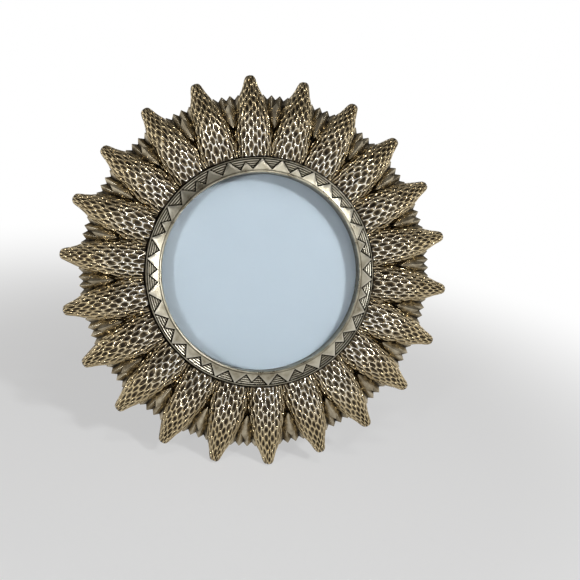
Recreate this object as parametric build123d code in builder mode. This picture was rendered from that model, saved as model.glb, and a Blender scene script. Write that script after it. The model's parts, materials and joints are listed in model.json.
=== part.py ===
from build123d import *
import os
from math import cos, radians, sin, tan

# Round photo frame with a petalled cast front, standing on its easel leg.
# Millimetres and degrees. +Z is up, the picture faces -Y, and the origin is on the table under the
# middle of the standing frame. Frame heights below are measured along the frame's own normal from
# the casting's back face, positive towards the viewer.

os.makedirs("parts", exist_ok=True)

full_turn = 360.0
half_turn = full_turn / 2

# Stance
lean_angle = 17.0
leg_spread_angle = 34.0
leg_lean_angle = leg_spread_angle - lean_angle
lean_cos = cos(radians(lean_angle))
lean_sin = sin(radians(lean_angle))
leg_cos = cos(radians(leg_lean_angle))
leg_sin = sin(radians(leg_lean_angle))
spread_cos = cos(radians(leg_spread_angle))
spread_sin = sin(radians(leg_spread_angle))

# Fits
slip_fit = 0.5
pin_fit = 0.05
stack_gap = 0.05
glue_gap = 0.05
button_gap = 0.1
overrun = 10.0

# Picture stack, from the glass to the back of the board
glass_radius = 50.8
glass_thickness = 2.0
glass_bevel = 0.3
print_thickness = 0.3
card_thickness = 1.2
board_radius = 57.5
board_thickness = 2.1
velour_thickness = 0.4

# Bezel ring
sight_radius = 48.0
ring_radius = 55.6
ring_valley_radius = 49.6
ring_edge_height = 2.5
ring_slope_rise = 1.8
ring_relief_depth = 0.9
lip_width = 1.4
spigot_length = 2.5
recess_depth = 7.6
zigzag_periods = 13
tall_point_share = 0.375
small_point_reach_share = 0.6

# Petal casting
petal_count = 22
tip_radius = 96.5
petal_start_radius = 55.0
petal_half_width = 10.4
petal_rise = 11.4
petal_underside = 1.2
petal_wall = 3.2
foot_flat_depth = 0.4
seat_groove_width = 1.0
collar_width = 2.6
base_thickness = 3.0
rim_tooth_radius = 87.2
rim_tooth_depth = 2.1
rim_edge_thickness = 1.4
rim_top_height = 3.2
rim_slope_width = 7.0
rim_inner_radius = 70.0
teeth_per_petal = 6
leaf_inner_radius = 68.0
leaf_wide_radius = 77.4
leaf_tip_radius = 82.8
leaf_half_width = 3.7
leaf_ridge_height = 6.6
leaf_ridge_drop = 1.4
leaf_side_drop = 1.9

# A petal's outline and crown: places along its length, then half width and rise there
station_shares = (0.0, 0.14, 0.30, 0.45, 0.60, 0.74, 0.85, 0.93, 0.98, 1.0)
width_shares = (0.90, 0.94, 0.985, 1.0, 0.84, 0.655, 0.46, 0.34, 0.24, 0.15)
rise_shares = (0.74, 0.88, 0.98, 1.0, 0.89, 0.68, 0.50, 0.385, 0.29, 0.17)
cored_shares = (0.17, 0.30, 0.45, 0.60, 0.72, 0.80)

# Turn buttons and their screws
button_petals = (2, 8, 13, 19)
button_names = ("upper_right", "lower_right", "lower_left", "upper_left")
button_pivot_radius = 66.5
button_thickness = 1.0
button_hub_radius = 4.0
button_nose_radius = 3.0
button_bite = 3.5
button_round = 0.3
washer_radius = 3.0
washer_thickness = 0.5
screw_radius = 1.3
screw_bite = 7.5
screw_head_radius = 2.7
screw_head_height = 1.6
screw_head_round = 0.9
screw_slot_width = 0.6
screw_slot_depth = 0.8
boss_radius = 4.2
boss_height = 10.4

# Easel hinge
pin_radius = 0.75
knuckle_radius = 1.5
pin_height = 38.0
pin_head_radius = 1.2
pin_head_length = 0.5
leaf_metal = 0.6
hinge_half_width = 9.0
middle_half_width = 3.0
knuckle_gap = 0.2
window_gap = 0.2
plate_length = 16.0
plate_corner = 2.0
rivet_radius = 1.1
rivet_head_radius = 2.1
rivet_head_height = 0.6
rivet_head_round = 0.4
rivet_spread = 5.5
rivet_distance = 10.0
stop_clearance = 0.05

# Easel leg
leg_core_thickness = 1.6
leg_fold_gap = 0.4
leg_top_gap = 3.0
leg_top_half_width = 12.0
leg_foot_half_width = 17.0
leg_top_corner = 5.0

# Heights along the frame's normal
back_of_stack = velour_thickness + board_thickness
glass_back = back_of_stack + card_thickness + print_thickness
glass_front = glass_back + glass_thickness
seat_height = glass_front + spigot_length
ring_edge_top = seat_height + ring_edge_height
ring_band_top = ring_edge_top + ring_slope_rise
ring_lip_top = glass_front + recess_depth
bore_radius = glass_radius + slip_fit
rebate_radius = board_radius + slip_fit
groove_radius = ring_radius + seat_groove_width
petal_reach = tip_radius - petal_start_radius
petal_pitch = full_turn / petal_count
half_pitch = petal_pitch / 2
pin_depth = knuckle_radius + stack_gap
leg_front = knuckle_radius - leg_fold_gap
leg_core_back = leg_front - leg_core_thickness
leg_back = leg_core_back - velour_thickness


def share_at(place, values):
    """Value at a place along the petal, on straight lines between the stations."""
    for i in range(1, len(station_shares)):
        if place <= station_shares[i]:
            run = station_shares[i] - station_shares[i - 1]
            part_way = (place - station_shares[i - 1]) / run
            return values[i - 1] + part_way * (values[i] - values[i - 1])
    return values[-1]


def petal_radius_at(place):
    return petal_start_radius + petal_reach * place


def petal_top_at(place):
    return petal_underside + petal_rise * share_at(place, rise_shares)


# The bottom pair of petals stands on the table, and the bounding box is centred over the origin.
centre_height = tip_radius * cos(radians(half_pitch)) * lean_cos - petal_underside * lean_sin - foot_flat_depth
pin_table_height = centre_height + pin_height * lean_cos - pin_depth * lean_sin
front_reach = max(
    petal_top_at(place) * lean_cos + petal_radius_at(place) * cos(radians(half_pitch)) * lean_sin
    for place in station_shares
)
pin_reach = pin_height * lean_sin + pin_depth * lean_cos
back_reach = pin_reach + pin_table_height * leg_sin / leg_cos - leg_back / leg_cos
frame_y = (front_reach - back_reach) / 2

frame_plane = Plane(origin=(0, frame_y, centre_height), x_dir=(1, 0, 0), z_dir=(0, -lean_cos, lean_sin))
section_plane = Plane(origin=frame_plane.origin, x_dir=(1, 0, 0), z_dir=(0, -lean_sin, -lean_cos))
frame_axis = Axis(frame_plane.origin, frame_plane.z_dir)
backwards = Axis(frame_plane.origin, -frame_plane.z_dir)
pin_point = frame_plane.from_local_coords((0, pin_height, -pin_depth))
pin_plane = Plane(origin=pin_point, x_dir=(1, 0, 0), z_dir=frame_plane.z_dir)
leg_plane = Plane(origin=pin_point, x_dir=(1, 0, 0), z_dir=(0, -leg_cos, -leg_sin))
pin_end_plane = Plane(origin=pin_point, x_dir=(0, 1, 0), z_dir=(1, 0, 0))


def polar(radius, angle):
    return (radius * cos(radians(angle)), radius * sin(radians(angle)))


def save(part, name):
    part.label = name
    export_step(part, "parts/" + name + ".step")


# Petal casting: half a petal and half a gap, mirrored, then repeated round the frame
def rim_outline(outer_radius):
    """Half a petal's share of the serrated rim, with a valley under the petal and in the gap."""
    teeth = teeth_per_petal // 2
    tooth_pitch = half_pitch / teeth
    points = [polar(rim_inner_radius, 0)]
    for tooth in range(teeth):
        points.append(polar(outer_radius - rim_tooth_depth, tooth * tooth_pitch))
        points.append(polar(outer_radius, (tooth + 0.5) * tooth_pitch))
    points.append(polar(outer_radius - rim_tooth_depth, half_pitch))
    points.append(polar(rim_inner_radius, half_pitch))
    return points


def outline(plane, points):
    """Flat face inside a closed run of straight edges."""
    with BuildSketch(plane) as face:
        with BuildLine():
            Polyline(*points, close=True)
        make_face()
    return face.sketch


with BuildPart() as petal:
    for station, width, rise in zip(station_shares, width_shares, rise_shares):
        with BuildSketch(Plane.YZ.offset(petal_radius_at(station))):
            with BuildLine():
                arch = EllipticalCenterArc(
                    (0, petal_underside),
                    petal_half_width * width,
                    petal_rise * rise,
                    start_angle=0,
                    arc_size=half_turn,
                )
                Line(arch @ 1, arch @ 0)
            make_face()
    loft()

with BuildPart() as petal_core:
    for station in cored_shares:
        with BuildSketch(Plane.YZ.offset(petal_radius_at(station))):
            with BuildLine():
                arch = EllipticalCenterArc(
                    (0, 0),
                    petal_half_width * share_at(station, width_shares) - petal_wall,
                    petal_top_at(station) - petal_wall,
                    start_angle=0,
                    arc_size=half_turn,
                )
                Line(arch @ 1, arch @ 0)
            make_face()
    loft()

# The kite leaf that fills the gap, with a ridge that falls towards its tip
leaf_plane = Plane(origin=(0, 0, 0), x_dir=(*polar(1, half_pitch), 0), z_dir=(0, 0, 1))
leaf_length = leaf_tip_radius - leaf_inner_radius
ridge_start = leaf_plane.from_local_coords((leaf_inner_radius, 0, leaf_ridge_height))
ridge_end = leaf_plane.from_local_coords((leaf_tip_radius, 0, leaf_ridge_height - leaf_ridge_drop))
ridge_plane = Plane(origin=ridge_start, x_dir=leaf_plane.y_dir, z_dir=ridge_end - ridge_start)
with BuildPart() as gap_leaf:
    with BuildSketch(leaf_plane):
        with BuildLine():
            Polyline(
                (leaf_inner_radius, 0),
                (leaf_wide_radius, leaf_half_width),
                (leaf_tip_radius, 0),
                (leaf_wide_radius, -leaf_half_width),
                close=True,
            )
        make_face()
    extrude(amount=leaf_ridge_height)
    with BuildSketch(ridge_plane):
        with BuildLine():
            Polyline(
                (0, 0),
                (leaf_half_width, -leaf_side_drop),
                (leaf_half_width, -leaf_ridge_height),
                (-leaf_half_width, -leaf_ridge_height),
                (-leaf_half_width, -leaf_side_drop),
                close=True,
            )
        make_face()
    extrude(amount=leaf_length + overrun, both=True, mode=Mode.INTERSECT)

with BuildPart() as half_sector:
    with BuildSketch(Plane.XZ):
        with BuildLine():
            Polyline(
                (sight_radius, 0),
                (rim_inner_radius + collar_width, 0),
                (rim_inner_radius + collar_width, base_thickness),
                (groove_radius + 2 * collar_width, (seat_height + base_thickness) / 2),
                (groove_radius + collar_width, seat_height),
                (sight_radius, seat_height),
                close=True,
            )
        make_face()
    revolve(axis=Axis.Z, revolution_arc=half_pitch)
    extrude(outline(Plane.XY, rim_outline(rim_tooth_radius)), amount=rim_edge_thickness)
    rim_foot = outline(Plane.XY.offset(rim_edge_thickness), rim_outline(rim_tooth_radius))
    rim_top = outline(Plane.XY.offset(rim_top_height), rim_outline(rim_tooth_radius - rim_slope_width))
    loft([rim_foot, rim_top], ruled=True)
    add(gap_leaf.part)
    add(petal.part)
    add(petal_core.part, mode=Mode.SUBTRACT)
    wedge_length = tip_radius + overrun
    wedge_width = wedge_length * tan(radians(half_pitch))
    wedge = outline(Plane.XY, [(0, 0), (wedge_length, 0), (wedge_length, wedge_width)])
    extrude(wedge, amount=tip_radius, mode=Mode.INTERSECT)

with BuildPart() as petal_sector:
    add(half_sector.part)
    mirror(about=Plane.XZ)

with BuildPart(frame_plane) as petal_casting:
    with PolarLocations(0, petal_count, start_angle=full_turn / 4 + half_pitch):
        add(petal_sector.part)
    with Locations((0, 0, 0)):
        Cylinder(bore_radius, seat_height, align=(Align.CENTER, Align.CENTER, Align.MIN), mode=Mode.SUBTRACT)
        Cylinder(rebate_radius, back_of_stack, align=(Align.CENTER, Align.CENTER, Align.MIN), mode=Mode.SUBTRACT)
    with Locations((0, 0, seat_height)):
        Cylinder(groove_radius, petal_rise, align=(Align.CENTER, Align.CENTER, Align.MIN), mode=Mode.SUBTRACT)
    for index in button_petals:
        turn = full_turn / 4 - (index + 0.5) * petal_pitch
        with Locations((*polar(button_pivot_radius, turn), 0)):
            Cylinder(boss_radius, boss_height, align=(Align.CENTER, Align.CENTER, Align.MIN))
            Cylinder(
                screw_radius + pin_fit,
                screw_bite + slip_fit,
                align=(Align.CENTER, Align.CENTER, Align.MIN),
                mode=Mode.SUBTRACT,
            )
    split(bisect_by=Plane.XY, keep=Keep.TOP)
save(petal_casting.part, "petal_casting")


# Bezel ring: a sloping band with a zigzag of raised points over a sunken outer border
def zigzag_points():
    period = full_turn / zigzag_periods
    small_point_radius = ring_valley_radius + small_point_reach_share * (ring_radius - ring_valley_radius)
    points = []
    for index in range(zigzag_periods):
        start = full_turn / 4 + index * period
        points.append(polar(ring_valley_radius, start))
        points.append(polar(ring_radius, start + tall_point_share / 2 * period))
        points.append(polar(ring_valley_radius, start + tall_point_share * period))
        points.append(polar(small_point_radius, start + period / 2))
        points.append(polar(ring_valley_radius, start + (1 - tall_point_share) * period))
        points.append(polar(ring_radius, start + (1 - tall_point_share / 2) * period))
    return points


with BuildPart() as bezel_ring:
    extrude(outline(frame_plane.offset(seat_height), zigzag_points()), amount=recess_depth)
    with BuildSketch(section_plane):
        with BuildLine():
            band_start = (sight_radius + lip_width, ring_band_top)
            lip_end = (sight_radius, ring_band_top)
            ThreePointArc(band_start, (sight_radius + lip_width / 2, ring_lip_top), lip_end)
            Polyline(
                lip_end,
                (sight_radius, seat_height),
                (ring_radius, seat_height),
                (ring_radius, ring_edge_top),
                band_start,
            )
        make_face()
    revolve(axis=frame_axis, mode=Mode.INTERSECT)
    with BuildSketch(section_plane):
        with BuildLine():
            Polyline(
                (sight_radius, glass_front),
                (bore_radius - glue_gap, glass_front),
                (bore_radius - glue_gap, seat_height),
                (ring_radius, seat_height),
                (ring_radius, ring_edge_top - ring_relief_depth),
                (sight_radius + lip_width, ring_band_top - ring_relief_depth),
                (sight_radius, ring_band_top - ring_relief_depth),
                close=True,
            )
        make_face()
    revolve(axis=frame_axis)
save(bezel_ring.part, "bezel_ring")

# Picture stack
with BuildPart() as glass_pane:
    with BuildSketch(frame_plane.offset(glass_back)):
        Circle(glass_radius)
    extrude(amount=glass_thickness - stack_gap)
    chamfer(glass_pane.edges().filter_by(GeomType.CIRCLE), glass_bevel)
save(glass_pane.part, "glass_pane")

with BuildPart() as photo_print:
    with BuildSketch(frame_plane.offset(back_of_stack + card_thickness)):
        Circle(glass_radius)
    extrude(amount=print_thickness)
save(photo_print.part, "photo_print")

with BuildPart() as filler_card:
    with BuildSketch(frame_plane.offset(back_of_stack)):
        Circle(glass_radius)
    extrude(amount=card_thickness)
save(filler_card.part, "filler_card")

board_rivet_height = pin_height + rivet_distance
board_rivet_places = [(-rivet_spread, board_rivet_height), (rivet_spread, board_rivet_height)]
with BuildPart() as backing_board:
    with BuildSketch(frame_plane.offset(velour_thickness)):
        Circle(board_radius)
        with Locations(*board_rivet_places):
            Circle(rivet_radius + pin_fit, mode=Mode.SUBTRACT)
    extrude(amount=board_thickness)
    with BuildSketch(frame_plane.offset(back_of_stack)):
        with Locations(*board_rivet_places):
            Circle(rivet_head_radius + stack_gap)
    extrude(amount=-(rivet_head_height + stack_gap), mode=Mode.SUBTRACT)
save(backing_board.part, "backing_board")

with BuildPart() as board_velour:
    with BuildSketch(frame_plane):
        Circle(board_radius)
        with Locations(*board_rivet_places):
            Circle(rivet_radius + pin_fit, mode=Mode.SUBTRACT)
    extrude(amount=velour_thickness)
save(board_velour.part, "board_velour")


# Turn buttons with their washers and screws, each on its own petal's boss
def button_plane(index, depth):
    """Plane behind the casting at a button's pivot, with x towards the frame's centre, facing backwards."""
    turn = full_turn / 4 - (index + 0.5) * petal_pitch
    pivot = frame_plane.from_local_coords((*polar(button_pivot_radius, turn), -depth))
    inward = frame_plane.from_local_coords((0, 0, -depth)) - pivot
    return Plane(origin=pivot, x_dir=inward, z_dir=-frame_plane.z_dir)


button_nose = button_pivot_radius - board_radius + button_bite - button_nose_radius
washer_depth = button_gap + button_thickness + stack_gap
head_depth = washer_depth + washer_thickness + stack_gap

for index, place in zip(button_petals, button_names):
    with BuildPart() as turn_button:
        with BuildSketch(button_plane(index, button_gap)):
            with BuildLine():
                CenterArc((0, 0), button_hub_radius, 0, full_turn)
                CenterArc((button_nose, 0), button_nose_radius, 0, full_turn)
            make_hull()
            Circle(screw_radius + pin_fit, mode=Mode.SUBTRACT)
        extrude(amount=button_thickness)
        back_face = turn_button.faces().sort_by(backwards)[-1]
        fillet(back_face.outer_wire().edges(), button_round)
    save(turn_button.part, "turn_button_" + place)

with BuildPart() as button_washers:
    for index in button_petals:
        with BuildSketch(button_plane(index, washer_depth)):
            Circle(washer_radius)
            Circle(screw_radius + pin_fit, mode=Mode.SUBTRACT)
        extrude(amount=washer_thickness)
save(button_washers.part, "button_washers")

with BuildPart() as button_screws:
    for index in button_petals:
        with BuildSketch(button_plane(index, head_depth)):
            Circle(screw_head_radius)
        extrude(amount=screw_head_height)
    fillet(button_screws.edges().filter_by(GeomType.CIRCLE).group_by(backwards)[-1], screw_head_round)
    for index in button_petals:
        with BuildSketch(button_plane(index, head_depth)):
            Circle(screw_radius)
        extrude(amount=-(head_depth + screw_bite))
        with BuildSketch(button_plane(index, head_depth + screw_head_height)):
            Rectangle(screw_head_radius, screw_slot_width)
            Rectangle(screw_slot_width, screw_head_radius)
        extrude(amount=-screw_slot_depth, mode=Mode.SUBTRACT)
save(button_screws.part, "button_screws")


# Easel hinge: a two-leaf hinge, whose short heel stops the leg when it is open
def round_face(plane, radius, *places):
    """Flat round faces of one size, centred at places on a plane."""
    with BuildSketch(plane) as face:
        with Locations(*places):
            Circle(radius)
    return face.sketch


def plate_face(plane, low, high, half_width):
    """Flat rectangle centred on a plane's y axis, from one height along it to another."""
    with BuildSketch(plane) as face:
        with Locations((0, (low + high) / 2)):
            Rectangle(2 * half_width, high - low)
    return face.sketch


pin_bore = round_face(pin_end_plane, pin_radius + pin_fit, (0, 0))
side_knuckle = hinge_half_width - middle_half_width - knuckle_gap
leaf_face = pin_depth - leaf_metal
window_reach = knuckle_radius + window_gap
with BuildPart() as board_hinge_leaf:
    sheet_plane = pin_plane.offset(leaf_face)
    rivet_holes = round_face(
        sheet_plane, rivet_radius + pin_fit, (-rivet_spread, rivet_distance), (rivet_spread, rivet_distance)
    )
    window = plate_face(sheet_plane, -window_reach, window_reach, middle_half_width + knuckle_gap)
    extrude(plate_face(sheet_plane, 0, plate_length, hinge_half_width), amount=leaf_metal)
    extrude(window, amount=leaf_metal, mode=Mode.SUBTRACT)
    for start in (-hinge_half_width, middle_half_width + knuckle_gap):
        extrude(round_face(pin_end_plane.offset(start), knuckle_radius, (0, 0)), amount=side_knuckle)
    extrude(pin_bore, amount=hinge_half_width, both=True, mode=Mode.SUBTRACT)
    extrude(rivet_holes, amount=leaf_metal, mode=Mode.SUBTRACT)
    top_corners = board_hinge_leaf.edges().filter_by(frame_axis)
    fillet(top_corners.group_by(Axis.Z)[-1], plate_corner)
save(board_hinge_leaf.part, "board_hinge_leaf")

heel_face = knuckle_radius - leaf_metal
heel_length = (leaf_face - stop_clearance + heel_face * spread_cos) / spread_sin
with BuildPart() as leg_hinge_leaf:
    sheet_plane = leg_plane.offset(-knuckle_radius)
    rivet_holes = round_face(
        sheet_plane, rivet_radius + pin_fit, (-rivet_spread, -rivet_distance), (rivet_spread, -rivet_distance)
    )
    extrude(plate_face(sheet_plane, -plate_length, -window_reach, hinge_half_width), amount=leaf_metal)
    extrude(plate_face(sheet_plane, -window_reach, heel_length, middle_half_width), amount=leaf_metal)
    middle_knuckle = round_face(pin_end_plane.offset(-middle_half_width), knuckle_radius, (0, 0))
    extrude(middle_knuckle, amount=2 * middle_half_width)
    extrude(pin_bore, amount=hinge_half_width, both=True, mode=Mode.SUBTRACT)
    extrude(rivet_holes, amount=leaf_metal, mode=Mode.SUBTRACT)
    low_corners = leg_hinge_leaf.edges().filter_by(Axis(leg_plane.origin, leg_plane.z_dir))
    fillet(low_corners.group_by(Axis.Z)[0], plate_corner)
save(leg_hinge_leaf.part, "leg_hinge_leaf")

with BuildPart() as hinge_pin:
    with BuildSketch(pin_end_plane):
        Circle(pin_radius)
    extrude(amount=hinge_half_width + pin_head_length, both=True)
    for side in (-1, 1):
        head = round_face(pin_end_plane.offset(side * (hinge_half_width + pin_fit)), pin_head_radius, (0, 0))
        extrude(head, amount=side * pin_head_length)
save(hinge_pin.part, "hinge_pin")


def rivet(plane, x, y, grip):
    """Round-headed rivet, its head on a plane and its tail at the far end of the grip."""
    with BuildPart() as body:
        with BuildSketch(plane):
            with Locations((x, y)):
                Circle(rivet_head_radius)
        extrude(amount=rivet_head_height)
        crown = body.edges().group_by(Axis(plane.origin, plane.z_dir))[-1]
        fillet(crown, rivet_head_round)
        with BuildSketch(plane):
            with Locations((x, y)):
                Circle(rivet_radius)
        extrude(amount=-grip)
        with BuildSketch(plane.offset(-grip)):
            with Locations((x, y)):
                Circle(rivet_head_radius)
        extrude(amount=rivet_head_height)
    return body.part


board_rivet_plane = Plane(
    origin=frame_plane.from_local_coords((0, pin_height, -leaf_metal - stack_gap)),
    x_dir=(1, 0, 0),
    z_dir=-frame_plane.z_dir,
)
board_rivet_grip = leaf_metal + back_of_stack
with BuildPart() as board_rivets:
    add(rivet(board_rivet_plane, -rivet_spread, -rivet_distance, board_rivet_grip))
    add(rivet(board_rivet_plane, rivet_spread, -rivet_distance, board_rivet_grip))
save(board_rivets.part, "board_rivets")

leg_rivet_plane = Plane(
    origin=leg_plane.from_local_coords((0, 0, -knuckle_radius - stack_gap)),
    x_dir=(1, 0, 0),
    z_dir=-leg_plane.z_dir,
)
leg_rivet_grip = leaf_metal + velour_thickness + leg_core_thickness
with BuildPart() as leg_rivets:
    add(rivet(leg_rivet_plane, -rivet_spread, rivet_distance, leg_rivet_grip))
    add(rivet(leg_rivet_plane, rivet_spread, rivet_distance, leg_rivet_grip))
save(leg_rivets.part, "leg_rivets")

# Easel leg: a tapering hardboard strut with velour on its outer face, its foot flat on the table
leg_length = pin_table_height / leg_cos + overrun
leg_outline = [
    (-leg_top_half_width, -leg_top_gap),
    (leg_top_half_width, -leg_top_gap),
    (leg_foot_half_width, -leg_length),
    (-leg_foot_half_width, -leg_length),
]
leg_rivet_places = [(-rivet_spread, -rivet_distance), (rivet_spread, -rivet_distance)]


def leg_layer(bottom, thickness):
    """One layer of the leg with its rivet holes, cut off at the table."""
    with BuildPart() as layer:
        extrude(outline(leg_plane.offset(bottom), leg_outline), amount=thickness)
        corners = layer.edges().filter_by(Axis(leg_plane.origin, leg_plane.z_dir))
        fillet(corners.group_by(Axis.Z)[-1], leg_top_corner)
        rivet_holes = round_face(leg_plane.offset(bottom), rivet_radius + pin_fit, *leg_rivet_places)
        extrude(rivet_holes, amount=thickness, mode=Mode.SUBTRACT)
        split(bisect_by=Plane.XY, keep=Keep.TOP)
    return layer.part


with BuildPart() as easel_leg:
    add(leg_layer(leg_core_back, leg_core_thickness))
    tail_sinks = round_face(leg_plane.offset(leg_front), rivet_head_radius + stack_gap, *leg_rivet_places)
    extrude(tail_sinks, amount=-(rivet_head_height + stack_gap), mode=Mode.SUBTRACT)
save(easel_leg.part, "easel_leg")

with BuildPart() as leg_velour:
    add(leg_layer(leg_core_back - velour_thickness, velour_thickness))
save(leg_velour.part, "leg_velour")
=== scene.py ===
"""Round photo frame with a petalled cast brass front, dressed over its CAD frame.

The casting and its ring are shaped in millimetres in the frame's own plane (x to the right, y up the
frame, z towards the viewer, origin at the middle of the casting's back face), then stood up on the table.
"""
import json
import math

import bmesh
import bpy
from mathutils import Matrix, Vector
from mathutils.geometry import delaunay_2d_cdt


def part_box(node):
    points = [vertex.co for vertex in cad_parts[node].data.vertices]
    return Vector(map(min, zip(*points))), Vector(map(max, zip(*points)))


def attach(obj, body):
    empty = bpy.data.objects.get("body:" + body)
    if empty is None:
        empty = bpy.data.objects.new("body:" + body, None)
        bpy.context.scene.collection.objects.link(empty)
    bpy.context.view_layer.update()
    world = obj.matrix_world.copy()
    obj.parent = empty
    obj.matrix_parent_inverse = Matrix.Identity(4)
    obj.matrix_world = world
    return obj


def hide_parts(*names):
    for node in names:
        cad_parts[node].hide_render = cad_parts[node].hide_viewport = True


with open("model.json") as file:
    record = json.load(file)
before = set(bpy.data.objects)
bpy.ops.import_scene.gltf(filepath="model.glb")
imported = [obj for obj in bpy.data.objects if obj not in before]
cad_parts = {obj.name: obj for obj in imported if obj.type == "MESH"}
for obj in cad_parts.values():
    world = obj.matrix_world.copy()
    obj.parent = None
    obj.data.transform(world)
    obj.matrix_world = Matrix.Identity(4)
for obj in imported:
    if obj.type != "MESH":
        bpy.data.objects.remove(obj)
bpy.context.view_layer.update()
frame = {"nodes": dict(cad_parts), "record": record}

MM = 0.001
QUARTER = math.pi / 2
LEAST_SIZE = 0.01

# Seat of the glass in the casting, and the glass that fills it
SEAT = 8.5
GLASS_FRONT = 6.0
GLASS_HALF = 1.025

# Petals: a section's width and rise are shares of the widest and highest, by its place along the petal
PETALS = 22
PITCH = 2 * math.pi / PETALS
FIRST_ANGLE = QUARTER + PITCH / 2
PETAL_START = 55.0
PETAL_REACH = 41.5
PETAL_HALF_WIDTH = 10.4
PETAL_RISE = 11.4
UNDERSIDE = 1.2
START_RADIUS = 56.1
WIDTH_CURVE = [
    (0, 0.90), (0.14, 0.94), (0.28, 0.96), (0.40, 0.93), (0.50, 0.84), (0.60, 0.75), (0.70, 0.65),
    (0.78, 0.52), (0.84, 0.41), (0.90, 0.33), (0.95, 0.27), (0.98, 0.21), (1, 0),
]
RISE_CURVE = [
    (0, 0.80), (0.14, 0.90), (0.30, 0.98), (0.45, 1.0), (0.60, 0.89), (0.70, 0.745), (0.80, 0.575),
    (0.86, 0.48), (0.92, 0.40), (0.96, 0.335), (0.985, 0.25), (1, 0),
]
START_PLACE = (START_RADIUS - PETAL_START) / PETAL_REACH
WIDEST_SPAN = (PETAL_HALF_WIDTH + PETAL_RISE) / 2

# Cored pocket under each petal: places along it, with shares of the petal's width and rise
POCKET_WALL = 3.2
POCKET_SECTIONS = [
    (0.17, 0.9523, 0.8988), (0.30, 0.985, 0.98), (0.45, 1.0, 1.0),
    (0.60, 0.84, 0.89), (0.72, 0.6814, 0.71), (0.80, 0.5545, 0.5818),
]
ARCH_STEPS = 12
CORE_FOOT = -1.0
CORE_SPARE = 0.1

# Honeycomb, laid out flat with one lane to a petal; the nudge keeps divided whole numbers whole
LANE = 200.0
NUDGE = 0.0001
ROWS_BEHIND = 1.3
WANDER_SCALE = 0.27
DEPTH_LEAST, DEPTH_MOST, DEPTH_SEED = 0.75, 1.2, 4
OPEN_PITS = (0.50, 0.15)

# How far cells may hang over a petal before they are pitted, and how near its ends and foot they snap to them
EDGE_SPARE = 1.6
START_SPARE, TIP_SPARE = -0.05, 1.06
START_SNAP = 0.5
TIP_SNAP = 0.35
FOOT_SNAP = 0.55

# Where the pits grow shallow, by place along the petal and by roll over its crown
FLAT_TIP = (0.985, 0.935)
FLAT_SIDE = (math.radians(88), math.radians(72))

# How close two points are joined
CELL_WELD = 0.05
SKIRT_WELD = 0.02
UNDERSIDE_WELD = 0.01
SHELL_WELD = 0.004
FILL_WELD = 1e-4

# Casting between the petals: base, serrated rim and screw bosses
BASE_PROFILE = [
    (58, 0), (72.6, 0), (72.6, 2.6), (62, 4.4), (57.4, 5.2), (56.1, 6.6), (55.8, SEAT), (51.3, SEAT),
    (51.3, 2.5), (58, 2.5),
]
TEETH = 6
RIM_START = 70.0
TOOTH_TIP, TOOTH_RIDGE = 87.2, 3.7
TOOTH_VALLEY, VALLEY_HEIGHT = 85.1, 1.7
TOOTH_EDGE = 1.4
TOOTH_SLOPE = 7.0
BASE_PIT, TOOTH_PIT, UNDERSIDE_PIT = 0.85, 0.75, 0.6  # how deep in shadow, from 0 to 1
BOSS_CIRCLE = 66.5
BOSS_GAPS = (2, 8, 13, 19)

# Bezel ring: a zigzag of tall and small points, by share of one period
SIGHT = 48.0
REBATE = 51.25
RING_RADIUS = 55.6
RING_PERIODS = 13
RING_PERIOD = 2 * math.pi / RING_PERIODS
VALLEY = 49.6
TALL_POINT = 55.05
SMALL_POINT = 53.2
TALL_SHARE = 0.375
ZIGZAG = [
    (0, VALLEY), (TALL_SHARE / 2, TALL_POINT), (TALL_SHARE, VALLEY), (0.5, SMALL_POINT),
    (1 - TALL_SHARE, VALLEY), (1 - TALL_SHARE / 2, TALL_POINT), (1, VALLEY),
]
COLUMNS_PER_SIDE = 9
BAND_TOP = 12.8
EDGE_TOP = 11.0
LIP_WIDTH = 1.4
BEAD_RADIUS = 0.62
BEAD_HEIGHT = 0.75
BEAD_STEPS = 6
FACE_START = 49.5
WALL = 0.6
HOLLOW_DEPTH = 0.95
HOLLOW_END = 55.0
HATCH_START = 50.5
HATCH_STEP = 0.56
HATCH_LINES = 8
HATCH_RIDGE = 0.36
HATCH_GROOVE = -0.05

# Colours
WHITE = (1, 1, 1, 1)
# Silver-white crest colour: partly worn metal, partly a painted highlight near the ring
GOLDEN_CREST, HIGHLIGHT_AND_WORN_SILVER = (0.70, 0.57, 0.34, 1), (0.97, 0.94, 0.86, 1)
DULL_FLANK, WORN_FLANK = (0.22, 0.16, 0.085, 1), (0.48, 0.385, 0.23, 1)
# Dark colour of patina and painted shade in the petals' pits and at their start
PETAL_PATINA_AND_SHADE = (0.036, 0.028, 0.020, 1)
DULL_RING, WORN_RING, BARE_RING = (0.27, 0.235, 0.165, 1), (0.56, 0.52, 0.41, 1), (0.85, 0.81, 0.70, 1)
# Dark colour of patina and painted shade in the ring's hollows, grooves and inner wall
RING_PATINA_AND_SHADE = (0.028, 0.024, 0.02, 1)
DULL_RIM, WORN_RIM = (0.25, 0.205, 0.135, 1), (0.56, 0.49, 0.36, 1)
# Dark colour of patina and painted shade on the rim, the leaves and the base
RIM_PATINA_AND_SHADE = (0.030, 0.024, 0.018, 1)
GRAIN_HEIGHT = 0.0001

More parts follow.
